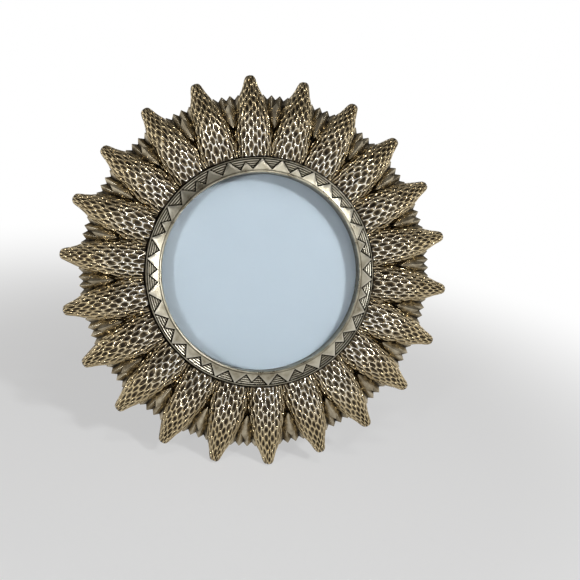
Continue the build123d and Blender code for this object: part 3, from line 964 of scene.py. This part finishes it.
def zigzag_face(edge):
    """Smooth face out to the zigzag's edge, bright along the edge, and the wall below it."""
    section = []
    for share, drop, pit in ((0.0, 0, 0.0), (0.5, 0, 0.0), (0.96, 0, -0.15), (1.0, 0.05, -0.15)):
        radius = FACE_START + (edge - FACE_START) * share
        section.append((radius, slope(radius) - drop, pit))
    section.append((edge + WALL * 0.25, slope(edge) - 0.3, 0.6))
    section.append((edge + WALL, slope(edge) - HOLLOW_DEPTH, 1.0))
    return section


def hatched_hollow(edge):
    """Sunk face outside the zigzag, with fine ridges round it that end at the wall."""
    start = edge + WALL + 0.2
    section = []
    for line in range(HATCH_LINES):
        radius = HATCH_START + line * HATCH_STEP
        level, pit = (HATCH_RIDGE, -0.4) if line % 2 else (HATCH_GROOVE, 1.0)
        if radius <= start:
            radius, level, pit = start, 0.0, 1.0
        section.append((min(radius, HOLLOW_END), slope(radius) - HOLLOW_DEPTH + level, pit))
    section.append((HOLLOW_END, slope(HOLLOW_END) - HOLLOW_DEPTH, 1.0))
    return section


def ring_column(turn):
    """Section of the ring at one turn: (radius, height, how deep in shadow)."""
    edge = zigzag_radius(turn)
    outer_edge = [(55.12, slope(55.1) - 0.12, 0.1), (55.42, slope(55.4) - 0.05, 0.0)]
    back = [
        (RING_RADIUS, EDGE_TOP - 0.35, 0.3),
        (RING_RADIUS, SEAT, 1.0),
        (REBATE, SEAT, 1.0),
        (REBATE, GLASS_FRONT, 1.0),
        (SIGHT, GLASS_FRONT, 0.6),
    ]
    return [*ring_lip(), *zigzag_face(edge), *hatched_hollow(edge), *outer_edge, *back]


def make_ring(material, repeat):
    """One period of the zigzag, cut column by column, then repeated round the ring."""
    shares = []
    for (low, _), (high, _) in zip(ZIGZAG, ZIGZAG[1:]):
        shares += [low + (high - low) * step / COLUMNS_PER_SIDE for step in range(COLUMNS_PER_SIDE)]
    turns = [share * RING_PERIOD for share in [*shares, 1]]
    rows, pits = [], []
    for level in zip(*[ring_column(turn) for turn in turns]):
        rows.append([polar(radius, turn, height) for turn, (radius, height, _) in zip(turns, level)])
        pits += [pit for _, _, pit in level]
    strip = rows_mesh("ring_strip", rows, False)
    mark(strip, "pit", pits)
    values = {"Count": RING_PERIODS, "Step": RING_PERIOD, "First Turn": QUARTER, "Merge": 0.004}
    piece = grow(repeat, "carved_ring", strip, {**values, "Material": material})
    edit(piece.data, tidy_shell)
    smooth(piece.data, 28)
    return piece


def make_glass(material):
    """Glass with ground edges, a hair's breadth in front of the print."""
    radius, back, front, ground = 50.8, 4.05, 5.95, 0.3
    profile = [
        (radius - ground, back), (radius, back + ground), (radius, front - ground), (radius - ground, front),
    ]
    mesh = rows_mesh("clear_glass", [circle(reach, level, 192) for reach, level in profile], True)
    edit(mesh, close_ends)
    piece = object_of("clear_glass", mesh)
    paint(piece, material)
    smooth(mesh, 30)
    return piece


# ------------ materials
def shader_group(name, inputs, output):
    return new_tree(name, "ShaderNodeTree", inputs, {output: "NodeSocketFloat"})


def object_noise(tree, scale, detail=3.0, roughness=0.55):
    where = tree.nodes.new("ShaderNodeTexCoord").outputs["Object"]
    inputs = {"Vector": where, "Scale": scale, "Detail": detail, "Roughness": roughness}
    return term(tree, "ShaderNodeTexNoise", inputs)


def patina_and_shade_group():
    """Dark patina and painted shade left in the low places, with a ragged edge."""
    inputs = {"Depth": 0.0, "Reach": 0.5, "Raggedness": 0.5, "Scale": 900.0}
    tree, values, end = shader_group("patina_and_shade", inputs, "Mask")
    ragged = (object_noise(tree, values["Scale"]) - 0.5) * values["Raggedness"]
    level = values["Depth"] + ragged
    low = values["Reach"] - 0.3
    mask = ((level - low) / 0.6).within(0.0, 1.0)
    feed(tree, end.inputs[0], mask.eased())
    return tree


def drift_group():
    """Slow change of tone over a surface, from 0 to 1."""
    tree, values, end = shader_group("tone drift", {"Scale": 40.0, "Contrast": 2.0}, "Tone")
    tone = (object_noise(tree, values["Scale"]) - 0.5) * values["Contrast"] + 0.5
    feed(tree, end.inputs[0], tone.within(0.0, 1.0))
    return tree


def grain_group():
    """Fine grain of a surface as a height, a coarse noise over a fine one."""
    tree, values, end = shader_group("grain", {"Scale": 2500.0, "Coarse": 0.5}, "Height")
    fine = object_noise(tree, values["Scale"], 2.0)
    coarse = object_noise(tree, values["Scale"] * 0.2, 2.0)
    feed(tree, end.inputs[0], fine + coarse * values["Coarse"])
    return tree


GROUPS = {"patina_and_shade": patina_and_shade_group(), "drift": drift_group(), "grain": grain_group()}


def use_group(tree, name, values):
    return term(tree, "ShaderNodeGroup", values, node_tree=GROUPS[name])


def new_material(name):
    material = bpy.data.materials.new(name)
    material.use_nodes = True
    shader = material.node_tree.nodes["Principled BSDF"]
    return material, material.node_tree, shader


def mix(tree, share, first, second):
    node = add_node(tree, "ShaderNodeMix", data_type="RGBA")
    for place, value in ((0, share), (6, first), (7, second)):
        feed(tree, node.inputs[place], value)
    return node.outputs[2]


def mix_shaders(tree, share, first, second):
    return result_of(tree, "ShaderNodeMixShader", {0: share, 1: first, 2: second})


def show(tree, surface):
    """Sends a surface to the material's output."""
    feed(tree, tree.nodes["Material Output"].inputs["Surface"], surface)


def set_surface(tree, shader, colour, metallic, roughness, grain):
    """Colour, metal or not, roughness, and a grain of (scale, share of coarse, strength)."""
    scale, coarse, strength = grain
    height = use_group(tree, "grain", {"Scale": scale, "Coarse": coarse})
    inputs = {"Height": height, "Strength": strength, "Distance": GRAIN_HEIGHT}
    feed(tree, shader.inputs["Base Color"], colour)
    feed(tree, shader.inputs["Metallic"], metallic)
    feed(tree, shader.inputs["Roughness"], roughness)
    feed(tree, shader.inputs["Normal"], result_of(tree, "ShaderNodeBump", inputs))


def attribute(tree, name):
    return Term(tree, add_node(tree, "ShaderNodeAttribute", attribute_name=name).outputs["Fac"])


def petal_brass():
    """Golden crests, silver near the ring from wear and a painted highlight, brown flanks, and pits and the
    petals' start darkened by patina and painted shade.
    """
    material, tree, shader = new_material("aged petal brass with painted shade and highlight")
    pit, crown, along = (attribute(tree, name) for name in ("pit", "crown", "along"))
    drift = use_group(tree, "drift", {"Scale": 70.0, "Contrast": 3.0})
    # Painted highlight, partly worn silver metal: the crowns near the ring turn silver-white.
    silver_highlight_and_wear = along.ramp(0.62, 0.22) * ((crown - 0.30) * 1.6).within(0.0, 1.0) * (drift * 0.7 + 0.4)
    crest = mix(tree, silver_highlight_and_wear.within(0.0, 1.0), GOLDEN_CREST, HIGHLIGHT_AND_WORN_SILVER)
    flank = mix(tree, drift, DULL_FLANK, WORN_FLANK)
    # Painted shade and patina: the deeper into a pit, the browner and then darker the metal.
    metal = mix(tree, (pit * 2.4 - 0.1).within(0.0, 1.0), crest, flank)
    # Painted shade: each petal's start is darkened too, where the ring's edge shades it.
    low = pit.do("MAXIMUM", along.ramp(0.055, 0.03))
    dark = use_group(tree, "patina_and_shade", {"Depth": low, "Reach": 0.76, "Raggedness": 0.7, "Scale": 600.0})
    roughness = dark * 0.2 + drift * 0.08 + 0.12
    set_surface(tree, shader, mix(tree, dark, metal, PETAL_PATINA_AND_SHADE), 1.0, roughness, (1800.0, 0.8, 0.25))
    return material


def ring_brass():
    """Worn band, bare metal on its edges and ridges, hollows darkened by patina and painted shade."""
    material, tree, shader = new_material("aged ring brass with painted shade")
    pit = attribute(tree, "pit")
    drift = use_group(tree, "drift", {"Scale": 180.0, "Contrast": 2.6})
    worn = mix(tree, drift, DULL_RING, WORN_RING)
    bare = mix(tree, (pit * -3.0).within(0.0, 1.0), worn, BARE_RING)
    # Painted shade and patina: hollows, grooves and the inner wall darkened by how deep in shadow they lie.
    dark = use_group(tree, "patina_and_shade", {"Depth": pit, "Reach": 0.50, "Raggedness": 0.4, "Scale": 900.0})
    roughness = dark * 0.25 + drift * 0.12 + 0.25
    set_surface(tree, shader, mix(tree, dark, bare, RING_PATINA_AND_SHADE), 1.0, roughness, (2400.0, 0.6, 0.3))
    return material


def rim_brass():
    """Dull metal with ragged dark patina and painted shade in its low places, for the rim, the leaves and the
    base.
    """
    material, tree, shader = new_material("aged rim brass with painted shade")
    drift = use_group(tree, "drift", {"Scale": 210.0, "Contrast": 3.0})
    bare = mix(tree, drift, DULL_RIM, WORN_RIM)
    low = attribute(tree, "pit")
    # Painted shade and patina: the teeth's sides, the leaves' feet and the base darkened.
    stain_and_shade = use_group(tree, "patina_and_shade", {"Depth": low, "Reach": 0.55, "Raggedness": 1.1, "Scale": 420.0})
    colour = mix(tree, stain_and_shade, bare, RIM_PATINA_AND_SHADE)
    set_surface(tree, shader, colour, 1.0, stain_and_shade * 0.2 + 0.26, (1500.0, 1.0, 0.35))
    return material


def plain_surface(name, light, dark, scale, roughness, metallic, grain_scale, grain_strength):
    """Material with two drifting tones and a fine grain."""
    material, tree, shader = new_material(name)
    drift = use_group(tree, "drift", {"Scale": scale, "Contrast": 2.0})
    grain = (grain_scale, 0.4, grain_strength)
    set_surface(tree, shader, mix(tree, drift, dark, light), metallic, drift * 0.1 + roughness, grain)
    return material


def glass():
    """Clear glass that lets the lamps' light through to the print."""
    material, tree, shader = new_material("picture glass")
    drift = use_group(tree, "drift", {"Scale": 30.0, "Contrast": 1.0})
    feed(tree, shader.inputs["Base Color"], mix(tree, drift, (0.97, 0.985, 0.985, 1), WHITE))
    feed(tree, shader.inputs["Metallic"], 0.0)
    feed(tree, shader.inputs["Roughness"], drift * 0.02 + 0.01)
    feed(tree, shader.inputs["IOR"], 1.5)
    feed(tree, shader.inputs["Transmission Weight"], 1.0)
    shadow = tree.nodes.new("ShaderNodeLightPath").outputs["Is Shadow Ray"]
    clear = result_of(tree, "ShaderNodeBsdfTransparent", {"Color": (0.93, 0.95, 0.95, 1)})
    show(tree, mix_shaders(tree, shadow, shader.outputs[0], clear))
    return material


def dress_cad_nodes():
    """Materials for the nodes that are shown as the CAD made them."""
    made = {name: plain_surface(name, *values) for name, values in SURFACES.items()}
    velour = made["velour"].node_tree.nodes["Principled BSDF"]
    velour.inputs["Sheen Weight"].default_value = 0.4
    for name, node in frame["nodes"].items():
        for place in node.material_slots:
            place.material = made[NODE_SURFACES.get(name, "plated steel")]


# ------------ stage
def seen_straight(tree):
    """1 for what the camera sees itself, in metal or through glass, before any matt surface."""
    path = tree.nodes.new("ShaderNodeLightPath").outputs
    seen = Term(tree, path["Is Camera Ray"]) + Term(tree, path["Is Glossy Ray"])
    seen = (seen + Term(tree, path["Is Transmission Ray"])).within(0.0, 1.0)
    return seen * Term(tree, path["Diffuse Depth"]).do("LESS_THAN", 0.5)


def make_world():
    """White all round, which metal sees dimmer in front and overhead, and a soft fill for the rest."""
    world = bpy.data.worlds.new("studio")
    bpy.context.scene.world = world
    world.use_nodes = True
    tree = world.node_tree
    tree.nodes.clear()
    seen = seen_straight(tree)
    _, backwards, upwards = parts_of(tree, tree.nodes.new("ShaderNodeTexCoord").outputs["Generated"])
    ceiling = upwards.ramp(0.30, 0.55)
    dim = ceiling * OVERHEAD_DIM + ceiling.flipped() * backwards.ramp(-0.1, -0.6) * FRONT_DIM
    mirrored = Term(tree, tree.nodes.new("ShaderNodeLightPath").outputs["Is Glossy Ray"])
    soft = result_of(tree, "ShaderNodeBackground", {"Color": SOFT_FILL, "Strength": SOFT_STRENGTH})
    inputs = {"Color": WHITE, "Strength": (dim * mirrored).flipped()}
    walls = result_of(tree, "ShaderNodeBackground", inputs)
    add_node(tree, "ShaderNodeOutputWorld", {0: mix_shaders(tree, seen, soft, walls)})


def make_floor():
    """Pale floor that turns to plain white away from the frame and keeps its shadow near it."""
    corners = [(-1, -1), (1, -1), (1, 1), (-1, 1)]
    mesh = mesh_of("floor", [(x * FLOOR_HALF, y * FLOOR_HALF, 0) for x, y in corners], [(0, 1, 2, 3)])
    floor = object_of("floor", mesh)
    floor.location.z = -FLOOR_DROP
    material, tree, shader = new_material("pale floor")
    feed(tree, shader.inputs["Base Color"], FLOOR_TONE)
    feed(tree, shader.inputs["Roughness"], 0.9)
    where = tree.nodes.new("ShaderNodeTexCoord").outputs["Object"]
    distance = term(tree, "ShaderNodeVectorMath", {0: where}, 1, operation="LENGTH")
    away = distance.ramp(SHADE_NEAR, SHADE_FAR).eased() * 0.5 + 0.5
    white = result_of(tree, "ShaderNodeEmission", {"Color": WHITE, "Strength": 1.0})
    show(tree, mix_shaders(tree, seen_straight(tree) * away, shader.outputs[0], white))
    mesh.materials.append(material)


def add_lamp(name, place, size, power, colour):
    data = bpy.data.lights.new(name, "AREA")
    data.shape = "RECTANGLE"
    data.size, data.size_y = size
    data.energy = power
    data.color = colour
    lamp = object_of(name, data)
    lamp.location = place
    direction = Vector(LAMP_TARGET) - lamp.location
    lamp.rotation_euler = direction.to_track_quat("-Z", "Y").to_euler()


def make_camera():
    """Camera where the photograph's was, found from the tips of the petals and the edge of the ring."""
    data = bpy.data.cameras.new("camera")
    data.sensor_width = 36.0
    data.lens = CAMERA_LENS
    camera = object_of("camera", data)
    azimuth, elevation, roll = map(math.radians, (CAMERA_AZIMUTH, CAMERA_ELEVATION, CAMERA_ROLL))
    reach = math.cos(elevation)
    back = Vector((math.sin(azimuth) * reach, -math.cos(azimuth) * reach, math.sin(elevation)))
    level = Vector((0, 0, 1)).cross(back).normalized()
    upright = back.cross(level)
    right = level * math.cos(roll) + upright * math.sin(roll)
    turn = Matrix((right, back.cross(right), back)).transposed().to_4x4()
    camera.matrix_world = Matrix.Translation(Vector(CAMERA_PLACE) * MM) @ turn
    bpy.context.scene.camera = camera


# ------------ build
def build():
    repeat = repeat_tree()
    petals = petal_brass()
    rim = rim_brass()
    cores = make_cores()
    casting = [
        *make_petals(petals),
        make_base(rim, cores),
        make_rim(rim, cores, repeat),
        make_leaves(rim, repeat),
        make_bosses(rim),
    ]
    bpy.data.objects.remove(cores)
    for piece in casting:
        finish_piece(piece, ["petal_casting"])
    finish_piece(make_ring(ring_brass(), repeat), ["bezel_ring"])
    finish_piece(make_glass(glass()), ["glass_pane"])
    dress_cad_nodes()
    make_world()
    make_floor()
    for lamp in LAMPS:
        add_lamp(*lamp)
    make_camera()
    bpy.context.scene.view_settings.view_transform = "Standard"


build()
